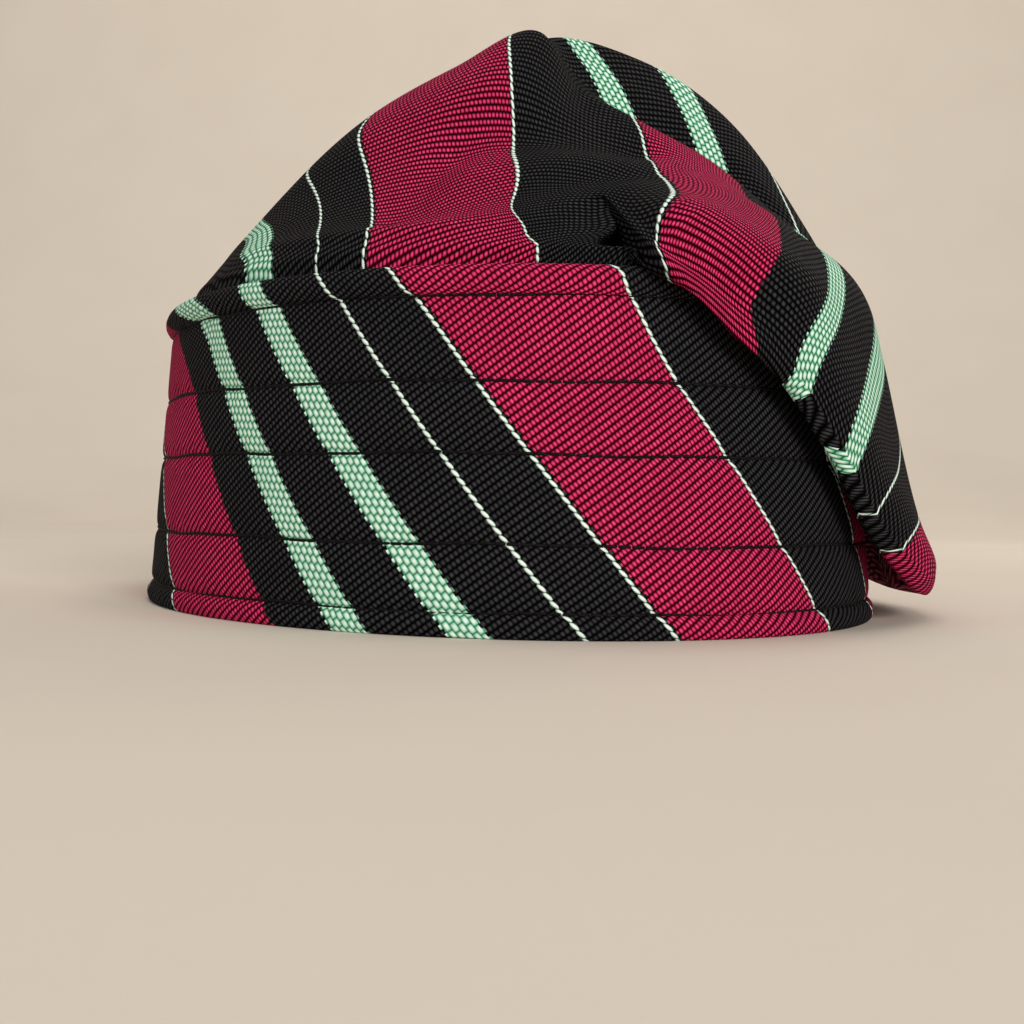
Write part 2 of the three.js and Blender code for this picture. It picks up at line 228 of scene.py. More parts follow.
def woven_cotton(name, painted_highlight_from):
    """Hand-woven cotton with a ribbed weave, its soft silky sheen painted into the colour as highlights on
    the threads, for the shader's own shine is almost nil. Each thread is a rounded bead: its height is
    (1 - a^2)^p (1 - b^2)^q, where a and b run from -1 to 1 across it both ways, and every second rib or
    column is shifted by half a thread. Height drives the colour, the gloss and the bump: a thread turns from
    the painted shade of the hollows to the colour of its flanks up to the height painted_highlight_from, and
    on to the painted highlight of the ridges above it. The higher that height, the less highlight and the
    darker the cloth."""
    made = bpy.data.materials.new(name)
    made.use_nodes = True
    tree = made.node_tree
    s = node(tree, "ShaderNodeSeparateXYZ", node(tree, "ShaderNodeUVMap", uv_map="cloth"))
    t = s.node.outputs[1]

    # The edge of a stripe steps to and fro by about half a millimetre, a thread at a time.
    step = node(tree, "ShaderNodeMath", t, FLOAT / 2, operation="DIVIDE")
    step = node(tree, "ShaderNodeMath", step, operation="FLOOR")
    step = node(tree, "ShaderNodeMath", step, 2.0, operation="FLOORED_MODULO")
    edge = node(tree, "ShaderNodeMath", step, EDGE_STEP, s, operation="MULTIPLY_ADD")
    edge = node(tree, "ShaderNodeMath", edge, STRIPE_REPEAT, operation="FLOORED_MODULO")
    part = node(tree, "ShaderNodeMath", edge, STRIPE_REPEAT, operation="DIVIDE")
    # Ramps by stripe: each yarn's ridge with its painted highlight, its flank, its hollow in painted shade,
    # and a mask that is white in the mint.
    ridge_highlight, flank, hollow_shade, is_mint = ramps = [node(tree, "ShaderNodeValToRGB", part) for _ in range(4)]
    for i, ramp in enumerate(ramps):
        stops, start = ramp.node.color_ramp.elements, 0.0
        ramp.node.color_ramp.interpolation = "CONSTANT"
        for k, (width, yarn) in enumerate(STRIPES):
            stop = stops[k] if k < 2 else stops.new(start)
            ground = "black" if yarn == "white" else yarn
            mask = (1, 1, 1, 1) if yarn == "mint" else (0, 0, 0, 1)
            stop.position = start
            stop.color = mask if ramp == is_mint else linear(YARN_DYES_WITH_PAINTED_LIGHT[ground][i])
            start += width / STRIPE_REPEAT

    # The two bead patterns: ribs of ground cloth, and mint floats lying side by side in columns. For each:
    # the place and spacing across its lines, the same along them, the powers p and q, and the least height
    # of a line between its beads.
    heights, repeat = [], node(tree, "ShaderNodeMath", s, STRIPE_REPEAT, operation="FLOORED_MODULO")
    for first, first_step, second, second_step, sharp, soft, base in (
        (t, RIB, s, BEAD, 0.8, 0.65, 0.22),
        (repeat, FLOAT_COLUMN, t, FLOAT, 0.55, 0.6, 0.0),
    ):
        line = node(tree, "ShaderNodeMath", first, first_step, operation="DIVIDE")
        count = node(tree, "ShaderNodeMath", line, operation="FLOOR")
        shift = node(tree, "ShaderNodeMath", count, 2.0, operation="FLOORED_MODULO")
        run = node(tree, "ShaderNodeMath", second, second_step, operation="DIVIDE")
        run = node(tree, "ShaderNodeMath", shift, 0.5, run, operation="MULTIPLY_ADD")
        rounds = []
        for along, power in ((line, sharp), (run, soft)):
            across = node(tree, "ShaderNodeMath", along, operation="FRACT")
            across = node(tree, "ShaderNodeMath", across, 2.0, -1.0, operation="MULTIPLY_ADD")
            across = node(tree, "ShaderNodeMath", across, across, operation="MULTIPLY")
            across = node(tree, "ShaderNodeMath", 1.0, across, operation="SUBTRACT")
            rounds.append(node(tree, "ShaderNodeMath", across, power, operation="POWER"))
        bead = node(tree, "ShaderNodeMath", rounds[1], 1 - base, base, operation="MULTIPLY_ADD")
        heights.append(node(tree, "ShaderNodeMath", rounds[0], bead, operation="MULTIPLY"))
        if len(heights) == 1:
            thread_number = node(tree, "ShaderNodeMath", run, operation="FLOOR")
            cell = node(tree, "ShaderNodeCombineXYZ", thread_number, count)
    height = node(tree, "ShaderNodeMix", is_mint, None, heights[0], heights[1])

    # The white lines: one slanting float after another, down the middle of each narrow stripe. A float's
    # height is that of its middle less a^2 + b^2, cut off at 0 and 1.
    middle, start = None, 0.0
    for width, yarn in STRIPES:
        if yarn == "white":
            away = node(tree, "ShaderNodeMath", repeat, start + width / 2, operation="SUBTRACT")
            away = node(tree, "ShaderNodeMath", away, operation="ABSOLUTE")
            if middle is not None:
                away = node(tree, "ShaderNodeMath", middle, away, operation="MINIMUM")
            middle = away
        start += width
    across = node(tree, "ShaderNodeMath", middle, CHAIN_HALF, operation="DIVIDE")
    run = node(tree, "ShaderNodeMath", s, CHAIN_SLANT, t, operation="MULTIPLY_ADD")
    run = node(tree, "ShaderNodeMath", run, CHAIN, operation="DIVIDE")
    run = node(tree, "ShaderNodeMath", run, operation="FRACT")
    run = node(tree, "ShaderNodeMath", run, 2.0, -1.0, operation="MULTIPLY_ADD")
    chain = node(tree, "ShaderNodeCombineXYZ", across, run)
    chain = node(tree, "ShaderNodeVectorMath", chain, chain, operation="DOT_PRODUCT", out=1)
    chain = node(tree, "ShaderNodeMath", CHAIN_FULL, chain, operation="SUBTRACT", use_clamp=True)
    is_white = node(tree, "ShaderNodeMapRange", chain, 0.0, CHAIN_COVER)
    height = node(tree, "ShaderNodeMix", is_white, None, height, chain)

    # No two threads take the dye alike, and the cloth is a little faded in broad patches.
    shade = node(tree, "ShaderNodeTexWhiteNoise", cell, noise_dimensions="2D")
    patch = node(tree, "ShaderNodeTexNoise", node(tree, "ShaderNodeUVMap", uv_map="cloth"), None, FADES, 3.0)
    shade = node(tree, "ShaderNodeMath", shade, DYE_SPREAD, DYE_LEAST, operation="MULTIPLY_ADD")
    patch = node(tree, "ShaderNodeMath", patch, FADE_SPREAD, FADE_LEAST, operation="MULTIPLY_ADD")
    shade = node(tree, "ShaderNodeMath", shade, patch, operation="MULTIPLY")
    # The colour: painted shade in the hollows, the flank colour above them, and a painted highlight on the
    # ridges from the height painted_highlight_from up. The noise above sets how much highlight each thread
    # gets.
    low = node(tree, "ShaderNodeMapRange", height, painted_highlight_from - FLANK_BELOW, painted_highlight_from + FLANK_PAST)
    high = node(tree, "ShaderNodeMapRange", height, painted_highlight_from, 1.0)
    low.node.interpolation_type = high.node.interpolation_type = "SMOOTHSTEP"
    high = node(tree, "ShaderNodeMath", high, shade, operation="MULTIPLY", use_clamp=True)
    colour = hollow_shade
    for share, tone, white in ((low, flank, YARN_DYES_WITH_PAINTED_LIGHT["white"][1]), (high, ridge_highlight, YARN_DYES_WITH_PAINTED_LIGHT["white"][0])):
        thread = node(tree, "ShaderNodeMix", is_white, data_type="RGBA", out=2)
        tree.links.new(tone, thread.node.inputs[6])
        thread.node.inputs[7].default_value = linear(white)
        mixed = node(tree, "ShaderNodeMix", share, data_type="RGBA", out=2)
        tree.links.new(colour, mixed.node.inputs[6])
        tree.links.new(thread, mixed.node.inputs[7])
        colour = mixed
    rough = node(tree, "ShaderNodeMath", height, -SHINE, ROUGH, operation="MULTIPLY_ADD")
    bump = node(tree, "ShaderNodeBump", BUMP, THREAD_RELIEF)
    tree.links.new(height, bump.node.inputs["Height"])

    shader = tree.nodes["Principled BSDF"]
    tree.links.new(colour, shader.inputs["Base Color"])
    tree.links.new(rough, shader.inputs["Roughness"])
    tree.links.new(bump, shader.inputs["Normal"])
    shader.inputs["IOR"].default_value = 1.5
    shader.inputs["Specular IOR Level"].default_value = 0.02
    return made


band.data.materials.append(woven_cotton("ribbed cotton of the headband", painted_highlight_from=0.5))
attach(band, "root")
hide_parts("band")


# The rows of stitching go round the band through all its layers, in black cotton thread. Each stitch is a
# short rounded length of thread that lies in the groove it pulls and dips into the cloth at both ends.
THREAD, THREAD_RINGS, THREAD_SIDES = 0.37, 7, 6  # half the thread's width, and how finely a stitch is cut
THREAD_LIFT, THREAD_DIP = 0.12, 0.2  # stand of a stitch's middle off the groove, and the dip of its ends
STITCH_HALF = 0.54 * STITCH  # half a stitch, with the little that goes into the cloth
WANDER, WANDERS = 0.25, 9  # how far a row strays up and down, and how often round the band
TREMBLE, TREMBLES = 0.12, 23  # the same for a quicker straying
ROW_LAG = 1.3  # phase between the strayings of one row and the next


def stitches_along(row, start):
    """One small spindle for each stitch: its radius falls as the fourth root of cos towards both ends, and it
    lies along the band, its middle at the groove's floor and its ends below it."""
    count = int(round(BAND_ROUND / STITCH))
    turn = (np.arange(count) + 0.5) / count * 2 * np.pi - np.pi
    tall = row + WANDER * np.sin(WANDERS * turn + start) + TREMBLE * np.sin(TREMBLES * turn + 2 * start)
    here = beside_band(turn, tall, GROOVE + THREAD_LIFT)
    along = beside_band(turn + 1e-3, tall, GROOVE + THREAD_LIFT) - here
    along /= np.linalg.norm(along, axis=1, keepdims=True)
    upward = np.broadcast_to([0.0, 0.0, 1.0], along.shape)
    a = np.linspace(-np.pi / 2, np.pi / 2, THREAD_RINGS)[:, None]
    b = np.linspace(0, 2 * np.pi, THREAD_SIDES + 1)[None, :-1]
    thick = THREAD * np.maximum(np.cos(a), 0) ** 0.25
    stands = thick * np.cos(b) - THREAD_DIP * np.sin(a) ** 6
    moves = [STITCH_HALF * np.sin(a) + 0 * b, stands, thick * np.sin(b)]
    ways = [along, np.cross(along, upward), upward]
    return here[:, None, None] + sum(m[..., None] * w[:, None, None] for m, w in zip(moves, ways))


threads = np.concatenate([stitches_along(row, i * ROW_LAG) for i, row in enumerate(STITCH_ROWS)])
numbers = np.arange(threads[..., 0].size).reshape(threads.shape[:3])
numbers = np.concatenate([numbers, numbers[:, :, :1]], 2).transpose(1, 2, 0)
thread_quads = quads_of(numbers).transpose(0, 2, 1).reshape(-1, 4)
stitching = cloth_piece("stitching", threads.reshape(-1, 3), thread_quads, np.zeros((thread_quads.size, 2)))

# Twisted cotton, dyed black: dull to the eye, and a little uneven where its plies show.
PLY = 0.0006  # metres
cotton_thread = bpy.data.materials.new("black cotton sewing thread")
cotton_thread.use_nodes = True
tree = cotton_thread.node_tree
ply = node(tree, "ShaderNodeTexNoise", node(tree, "ShaderNodeTexCoord", out=3), None, 1 / PLY, 2.0)
dye = node(tree, "ShaderNodeValToRGB", ply)
dye.node.color_ramp.elements[0].color = linear("#040304")
dye.node.color_ramp.elements[1].color = linear("#120e10")
tree.links.new(dye, tree.nodes["Principled BSDF"].inputs["Base Color"])
tree.nodes["Principled BSDF"].inputs["Roughness"].default_value = 0.7
tree.nodes["Principled BSDF"].inputs["Specular IOR Level"].default_value = 0.15
stitching.data.materials.append(cotton_thread)
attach(stitching, "root")


# The crown is a soft bag of the same cloth, tucked into the band. Its front stands up over the band, its top
# is pressed over to the wearer's left in a long ridge with a pleat behind it, and its end hangs down outside.
CROWN_WALL = 1.0
TUCK, TUCK_IN = 12.0, 4.4  # depth of the edge inside the band, and how far in from the band's outer wall
FOLD_RISE, FOLD_HALF, FOLD_MOST = 7.0, 4.0, 0.4  # turn at the lip: height, half thickness, most of the strip
HANG_CLEAR = 0.7  # the hang at which the cloth clears the band's edge; past it the lip swings free
RIM_IN, RIM_BELOW, RIM_ABOVE, RIM_FALL = 4.6, 3.0, 3.2, 1.4  # the way over the edge: in, below, above, fall
UNDER_IN, UNDER_OUT, UNDER_ABOVE, UNDER_FALL = 4.8, 7.9, 4.4, 8.6  # the same, just past the edge
PLEAT_DOWN, PLEAT_ROUND = 0.55, 0.35  # the turn into the pleat: share of the way down, how full it is
LEFT_OUT, LEFT_DOWN, TIP_OUT, TIP_DOWN = 6.0, 5.52, 1.5, 3.0  # how far the top line's ends are rounded off
# share along the top line, x, y and z of the far crest, near crest in front of it and below it, pleat depth
TOP_LINE = [
    (0.00, -65.5, 1, 95, 14, 0, -2.5),
    (0.12, -40, 7, 123, 20, 0, -2),
    (0.24, -12, 4, 138.8, 18, 0, -1.2),
    (0.34, 9, 1, 149.2, 20, 4, -0.5),
    (0.42, 19, 2, 150.3, 31, 26.5, 2),
    (0.50, 33, 6, 147.5, 50, 36, 8),
    (0.60, 50, 9, 140, 58, 38, 14),
    (0.70, 66, 7, 125, 55, 33.5, 14),
    (0.78, 78, 4, 106.5, 40, 18, 8),
    (0.86, 88.5, -2, 84, 24, 5, 1),
    (0.93, 100, -7, 50, 12, 1, -0.5),
    (1.00, 107.5, -10, 12, 8, 0, -2),
]
# share, lean of the lip in degrees, its height and stand-off, hang, set-back above it, low and high bulge,
# and how far the cloth is drawn in below the lip
NEAR_EDGE = [
    (0.00, 0, 82, -8.5, 0, -4.5, 1, 1, 0),
    (0.12, 0, 83, -9, 0, -9, 0, 2, 0),
    (0.24, 0, 83, -9, 0, -13, -1, 2.5, 0),
    (0.34, 0, 83, -9, 0, -17, -1, 3.5, 0),
    (0.42, 0, 83, -9, 0, -13, 0, 5, 0),
    (0.50, 0, 83, -10, 0, -8, 2, 3, 0),
    (0.57, 0, 83, -10, 0, -6, 3, 4, 0),
    (0.59, 2.8, 85.5, -13.5, 0, -5, 3, 4, 0),
    (0.60, 4.5, 88, -16.5, 0, -5, 3.5, 4.5, 0),
    (0.61, 3.8, 84.2, -11, 0, -5, 4, 5, 10),
    (0.62, 2.8, 80.2, -5, 0, -5, 4.5, 5.2, 16),
    (0.63, 1.5, 76.2, 2, 0.1, -4, 5, 5.5, 19),
    (0.637, 0.8, 73.8, 6, 0.3, -2, 5.3, 5.7, 16),
    (0.65, 3.2, 67.7, 7, 0.75, 1, 6, 6.5, 3),
    (0.675, 5.2, 59.5, 7, 0.95, 3, 6.6, 7, 0),
    (0.70, 6, 54.7, 6.8, 1, 4, 7, 7.5, 0),
    (0.78, 6, 36, 6.8, 1, 4, 5.5, 8.6, 0),
    (0.86, 3, 19, 7.5, 1, 4, 2.5, 4.6, 0),
    (0.93, 1, 8, 11, 1, 4, 0, 0.5, 0),
    (1.00, -4, 4.5, 15.5, 1, 4, 0, 0, 0),
]
FAR_EDGE = [
    (0.00, 0, 82, -8.5, 0, -4.5, 1, 1, 0),
    (0.12, 0, 83, -8, 0, -7, 2, 4, 0),
    (0.24, 0, 83, -8, 0, -7, 3, 8, 0),
    (0.42, 0, 83, -8, 0, -7, 4, 12, 0),
    (0.60, 0, 82, -6, 0, -6, 6, 12, 0),
    (0.70, -4, 69, 9, 0.7, 0, 7, 10, 0),
    (0.78, -8, 49, 9.5, 1, 4, 6, 8, 0),
    (0.86, -11, 28, 10, 1, 4, 3, 3, 0),
    (0.93, -12, 13, 13, 1, 4, 1, 0.5, 0),
    (1.00, -4, 4.5, 15.5, 1, 4, 0, 0, 0),
]
# Soft folds of the near side: share and span of each end, half width, height (a groove below 0)
FOLDS = [
    (0.34, 7.1, 0.5, 8.6, 6, -3.5),
    (0.4, 6.8, 0.53, 7.4, 7, 2.5),
    (0.33, 5.5, 0.52, 6.2, 6, -1.8),
    (0.642, 5.95, 0.685, 6.1, 3.5, -4.5),
    (0.645, 6.6, 0.69, 6.7, 6, 3),
]
SHARE_LENGTH, SPAN_LENGTH = 190.0, 13.0  # millimetres of cloth for a whole share and for a span


def read_table(table, share):
    """The columns of a table at shares between its rows: a cubic through the rows, whose slope at a row is
    the mean of the two neighbouring slopes, weighted towards the nearer row."""
    rows = np.array(table, float)
    x, values = rows[:, 0], rows[:, 1:]
    h = np.diff(x)[:, None]
    slope = np.diff(values, axis=0) / h
    inner = (slope[:-1] * h[1:] + slope[1:] * h[:-1]) / (h[1:] + h[:-1])
    slopes = np.concatenate([slope[:1], inner, slope[-1:]])
    k = np.clip(np.searchsorted(x, share, side="right") - 1, 0, len(h) - 1)
    w = ((share - x[k]) / h[k, 0])[:, None]
    return (
        (1 + 2 * w) * (1 - w) ** 2 * values[k]
        + w * (1 - w) ** 2 * h[k] * slopes[k]
        + w * w * (3 - 2 * w) * values[k + 1]
        + w * w * (w - 1) * h[k] * slopes[k + 1]
    ).T


def soft_share(x):
    """A share with a soft start and end: x^2 (3 - 2x), cut off at 0 and 1."""
    x = np.clip(x, 0, 1)
    return x * x * (3 - 2 * x)


def crown_control(turn):
    """Twelve control points for each strip: down in the band, over its edge, round the lip, up over a low and
    a high bulge to the crest, and down to the bottom of the pleat."""
    share, near = (1 - np.cos(turn)) / 2, (np.sin(turn) >= 0)[:, None]
    x, y, z, gap, drop, pleat = read_table(TOP_LINE, share)
    edge = np.where(near.T, read_table(NEAR_EDGE, share), read_table(FAR_EDGE, share))
    lean, lip_z, lip_out, hang, set_back, low, high, draw = edge
    upward = np.array([0.0, 0.0, 1.0])
    far = np.stack([x, y, z], -1)
    front = far - np.stack([0 * x, gap * np.abs(np.sin(turn)), drop], -1)
    seam = (far + front) / 2 - pleat[:, None] * upward
    left, tip = np.maximum(np.cos(turn), 0) ** 3, np.maximum(-np.cos(turn), 0) ** 3
    rounded = [TIP_OUT * tip - LEFT_OUT * left, 0 * x, -TIP_DOWN * tip - LEFT_DOWN * left]
    crest = np.where(near, front, far) + np.stack(rounded, -1)
    mouth = turn - np.pi / 2
    lip = mouth + np.radians(lean)
    wide = np.clip(hang / HANG_CLEAR, 0, 1)
    free = soft_share((hang - HANG_CLEAR) / (1 - HANG_CLEAR))
    rise = np.minimum(FOLD_RISE, FOLD_MOST * (crest[:, 2] - lip_z))
    under_z, under_out = BAND_HIGH + UNDER_ABOVE - UNDER_FALL * hang**2, UNDER_OUT * wide - UNDER_IN
    points = [
        beside_band(mouth, BAND_HIGH - TUCK + 0 * x, -TUCK_IN),
        beside_band(mouth, BAND_HIGH - RIM_BELOW + 0 * x, -TUCK_IN),
        beside_band(mouth, BAND_HIGH + RIM_ABOVE - RIM_FALL * hang, RIM_IN * (wide - 1)),
        beside_band(mouth, under_z, under_out),
        beside_band(
            lip,
            (under_z + lip_z) / 2 * (1 - free) + (lip_z + rise) * free,
            ((under_out + lip_out) / 2 - draw) * (1 - free) + (lip_out - FOLD_HALF) * free,
        ),
        beside_band(lip, lip_z, lip_out),
        beside_band(lip, lip_z + rise, lip_out + set_back * rise / FOLD_RISE),
    ]
    over = points[-1]
    chord = crest - over
    outwards = (over + chord / 2) * [1, 1, 0]
    outwards /= np.linalg.norm(outwards, axis=1, keepdims=True)
    along = chord / np.linalg.norm(chord, axis=1, keepdims=True)
    outwards -= (outwards * along).sum(1, keepdims=True) * along
    outwards /= np.linalg.norm(outwards, axis=1, keepdims=True)
    turned = crest * (1 - PLEAT_DOWN) + seam * PLEAT_DOWN
    points += [
        over + chord / 3 + low[:, None] * outwards,
        over + chord * 2 / 3 + high[:, None] * outwards,
        crest,
        turned + PLEAT_ROUND * np.maximum(pleat, 0)[:, None] * upward,
        seam,
    ]
    return np.stack(points)


def along_strips(control, steps):
    """A centripetal curve through each strip's control points, steps to a span. Beyond the bottom of the
    pleat it aims at the strip across the pleat, so that the two meet smoothly."""
    columns = control.shape[1]
    across = control[-2:-1, -np.arange(columns) % columns]
    ends = np.concatenate([2 * control[:1] - control[1:2], control, across])
    d = np.maximum(np.linalg.norm(np.diff(ends, axis=0), axis=-1, keepdims=True), 1e-6) ** 0.5
    p0, p1, p2, p3 = ends[:-3, None], ends[1:-2, None], ends[2:-1, None], ends[3:, None]
    a, b, c = d[:-2, None], d[1:-1, None], d[2:, None]
    m1 = ((p1 - p0) / a - (p2 - p0) / (a + b) + (p2 - p1) / b) * b
    m2 = ((p2 - p1) / b - (p3 - p1) / (b + c) + (p3 - p2) / c) * b
    w = (np.arange(steps) / steps)[None, :, None, None]
    curve = (2 * w**3 - 3 * w**2 + 1) * p1 + (w**3 - 2 * w**2 + w) * m1
    curve = curve + (3 * w**2 - 2 * w**3) * p2 + (w**3 - w**2) * m2
    return np.concatenate([curve.reshape(-1, columns, 3), control[-1:]])


def outward(points):
    """Unit normals of the bag: the cross product of the way round and the way up, shared across the pleat."""
    columns = points.shape[1]
    around = np.roll(points, -1, 1) - np.roll(points, 1, 1)
    first, last = points[1:2] - points[:1], points[-1:] - points[-2:-1]
    upwards = np.concatenate([first, points[2:] - points[:-2], last])
    normal = np.cross(around, upwards)
    normal /= np.maximum(np.linalg.norm(normal, axis=-1, keepdims=True), 1e-9)
    normal[-1] += normal[-1, -np.arange(columns) % columns]
    return normal / np.maximum(np.linalg.norm(normal, axis=-1, keepdims=True), 1e-9)


FOLDS_FROM, FOLDS_FADE = 5.0, 0.7  # spans: where the folds set in above the lip, and over what length


def fold_height(turn, span):
    """The sum of the folds at each place: each is a height times exp(-(distance to its line / half width)^2),
    fading out below the lip."""
    share = (1 - np.cos(turn)) / 2 + 0 * span
    place = np.stack([share * SHARE_LENGTH, span * SPAN_LENGTH + 0 * turn], -1)
    total = 0
    for share0, span0, share1, span1, half, height in FOLDS:
        start = np.array([share0 * SHARE_LENGTH, span0 * SPAN_LENGTH])
        line = np.array([share1 * SHARE_LENGTH, span1 * SPAN_LENGTH]) - start
        part = np.clip((place - start) @ line / (line @ line), 0, 1)[..., None]
        away = np.linalg.norm(place - start - part * line, axis=-1)
        total = total + height * np.exp(-((away / half) ** 2))
    return np.where(np.sin(turn) > 0, soft_share((span - FOLDS_FROM) / FOLDS_FADE) * total, 0)


SETTLE_ROUNDS, SETTLED = 600, 1e-10  # the most rounds, and the share of the first miss at which to stop


def settle(weights, steps, hold, start):
    """The values whose steps along the edges of the grid come nearest to the wanted steps while each is held
    to its start: the weighted sum of the squared misses is least. Found by conjugate gradients."""

    def gather(edges, sign=-1):
        """At each point, the edges that end there plus sign times those that start there."""
        total = np.zeros_like(start)
        total[:, 1:] += edges[0]
        total[:, :-1] += sign * edges[0]
        total[1:] += edges[1]
        total[:-1] += sign * edges[1]
        return total

    def pull(v):
        """The weighted pull of the edges on each point."""
        return gather([weights[0] * np.diff(v, axis=1), weights[1] * np.diff(v, axis=0)])

    value, scale = start.copy(), gather(weights, 1) + hold
    left = gather([w * d for w, d in zip(weights, steps)]) - pull(start)
    way = left / scale
    size = (left * way).sum()
    first = size
    for _ in range(SETTLE_ROUNDS):
        if size < SETTLED * first:
            break
        push = pull(way) + hold * way
        stride = size / (way * push).sum()
        value, left = value + stride * way, left - stride * push
        last, size = size, (left * left / scale).sum()
        way = left / scale + size / last * way
    return value


CELL_SHAPES = (0.03, 30)  # thinner cells than these count as these


def cells_of(points):
    """The dot products of the steps round and up at each point of the grid, the areas they span, and the
    weight of each edge round and up: the length of the cell across the edge over its length along it."""
    a, b = np.gradient(points, axis=1), np.gradient(points, axis=0)
    aa, ab, bb = (a * a).sum(-1), (a * b).sum(-1), (b * b).sum(-1)
    shape = np.clip(np.sqrt(bb / np.maximum(aa, 1e-6)), *CELL_SHAPES)
    weights = [(shape[:, 1:] + shape[:, :-1]) / 2, (1 / shape[1:] + 1 / shape[:-1]) / 2]
    return aa, ab, bb, np.sqrt(np.maximum(aa * bb - ab**2, 1e-4)), weights


CLOTH_REACH = 3.0  # millimetres over which a sharp turn is eased
SOFT_FROM, SOFT_RISE, SOFT_TO, SOFT_FALL = 5.3, 0.6, 8.9, 0.7  # spans: where that begins and ends, and fades


def softened(points, span):
    """The near side with its sharp turns eased over a short reach, above the lip and below the crest."""
    area, weights = cells_of(points)[3:]
    weights = [CLOTH_REACH**2 * w for w in weights]
    soft = np.stack([settle(weights, [0, 0], area, points[..., k]) for k in range(3)], -1)
    fade = np.clip((span - SOFT_FROM) / SOFT_RISE, 0, 1) * np.clip((SOFT_TO - span) / SOFT_FALL, 0, 1)
    return points + soft_share(fade)[..., None] * (soft - points)


# The strips are closest where the flap leaves the band: there a tanh step takes most of their spacing. A sine
# spreads them from the two ends of the top line.
CROWN_COLUMNS, CROWN_STEPS, LINING_STEP = 448, 14, 7
CROWDED_AT, CROWDED_HALF, CROWDING, END_SPREAD = 1.83, 0.06, 0.042, 0.12
even = np.linspace(0, np.pi, CROWN_COLUMNS // 2 + 1)
crowd = -CROWDING * np.tanh((even - CROWDED_AT) / CROWDED_HALF)
turn = even + END_SPREAD * np.sin(2 * even) + crowd - crowd[0] - (crowd[-1] - crowd[0]) * even / np.pi
turn = np.concatenate([turn, 2 * np.pi - turn[-2:0:-1]])
crown_points = along_strips(crown_control(turn), CROWN_STEPS)
span = (np.arange(len(crown_points)) / CROWN_STEPS)[:, None]
crown_points = crown_points + fold_height(turn, span)[..., None] * outward(crown_points)
near = slice(1, CROWN_COLUMNS // 2)
crown_points[:, near] = softened(crown_points[:, near], span)
lining = crown_points - CROWN_WALL * outward(crown_points)
lining = lining[::LINING_STEP]

# The cloth of the crown is a front and a back, joined along the far crest. Each table gives, by share, the
# place across the stripes at the band's edge, at the lip and at the crest, and how far the middle bows from
# an even change. The strip behind the pleat belongs to the front, and its table runs from the far crest down.
FRONT_STRIPES = [
    (0.00, 53, 53, 52, 0),
    (0.05, 53.5, 56, 67, 2.5),
    (0.09, 57, 60, 76, 3),
    (0.12, 57, 61, 85, 3.2),
    (0.17, 61, 68, 95, 5.2),
    (0.24, 71.5, 76.5, 112, 4.8),
    (0.34, 92.5, 93, 137, 0.5),
    (0.42, 106, 106, 149, -2),
    (0.50, 118.5, 119, 158, -3),
    (0.56, 130, 133.5, 172, -3),
    (0.585, 138, 142, 182, -5),
    (0.60, 142, 147, 184, -4.5),
    (0.624, 146, 151.5, 186, -7),
    (0.64, 148, 156, 191, -8),
    (0.65, 150, 167, 196, -1),
    (0.675, 164, 187, 196, 2.5),
    (0.70, 182, 193, 198, 1.5),
    (0.74, 197, 208, 210, -2.5),
    (0.79, 208, 218.5, 217.5, -2),
    (0.86, 232, 244.5, 229, -12),
    (0.93, 256, 266, 247, -11),
    (1.00, 262, 270, 254, 0),
]
BACK_STRIPES = [
    (0.00, 524.9, 524.9, 523.9, 0),
    (0.12, 468, 468, 502, 0),
    (0.24, 440, 440, 479, 0),
    (0.36, 414, 414, 455, 0),
    (0.42, 405, 405, 441, 0),
    (0.50, 391, 391, 423, 0),
    (0.60, 373, 373, 398, 0),
    (0.70, 354, 354, 372, 0),
    (0.78, 338, 338, 347, 0),
    (0.86, 318, 318, 318, 0),
    (0.93, 295, 295, 290, 0),
    (1.00, 270, 270, 254, 0),
]
PLEAT_STRIPES = [
    (0.36, 196, 196, 188, 0),
    (0.40, 203.5, 203.5, 192, 0),
    (0.50, 214, 214, 203.5, 0),
    (0.65, 229, 229, 220, 0),
    (0.80, 242, 242, 235.2, 0),
    (0.90, 250, 250, 246, 0),
    (1.00, 256, 256, 254, 0),
]
PLEAT_FROM = 0.36  # the share past which that strip shows
STRIPE_REACH = 5.0  # millimetres over which the stripes are evened out
HOOK, HOOK_FROM, HOOK_FULL = 6.0, 0.69, 0.75  # turn of the stripes at the hanging lip, and where it grows
LEAN, LEAN_FROM, LEAN_FULL = 9.0, 0.66, 0.70  # the same for their lean into the pleat, behind the near crest
TURN_REACH = 4.5  # millimetres of cloth that the hook and the lean take
# Share, and how many times its true size the weave is drawn along the stripes. The front leans back and its
# ribs would be too fine to show, so they are drawn coarser there, and finer on the flap, which faces the eye.
LOOSE = [
    (0, 1.5), (0.25, 1.5), (0.42, 1.4), (0.52, 1.3), (0.6, 1.0), (0.65, 0.72), (0.75, 0.72), (1, 0.85),
]
EDGE_ROW, LIP_ROW, CREST_ROW = 4 * CROWN_STEPS, 5 * CROWN_STEPS, 9 * CROWN_STEPS


def on_the_cloth(points, s, hook, loose):
    """Places across and along the stripes. The stripes are evened out over a short reach, as taut threads
    are, and then turned aside by hook. A walk along a stripe should add its length over loose to t, and a
    walk straight across nothing: t comes as near to that as the folds allow."""
    aa, ab, bb, area, weights = cells_of(points)
    s = settle([STRIPE_REACH**2 * w for w in weights], [0, 0], area, s) + hook
    s_a, s_b = np.gradient(s, axis=1), np.gradient(s, axis=0)
    steep = np.sqrt(np.maximum(bb * s_a**2 - 2 * ab * s_a * s_b + aa * s_b**2, 1e-6))
    steps = [(ab * s_a - aa * s_b) / steep / loose, (bb * s_a - ab * s_b) / steep / loose]
    steps = [(steps[0][:, 1:] + steps[0][:, :-1]) / 2, (steps[1][1:] + steps[1][:-1]) / 2]
    return np.stack([s, settle(weights, steps, 0, 0 * s)], -1)


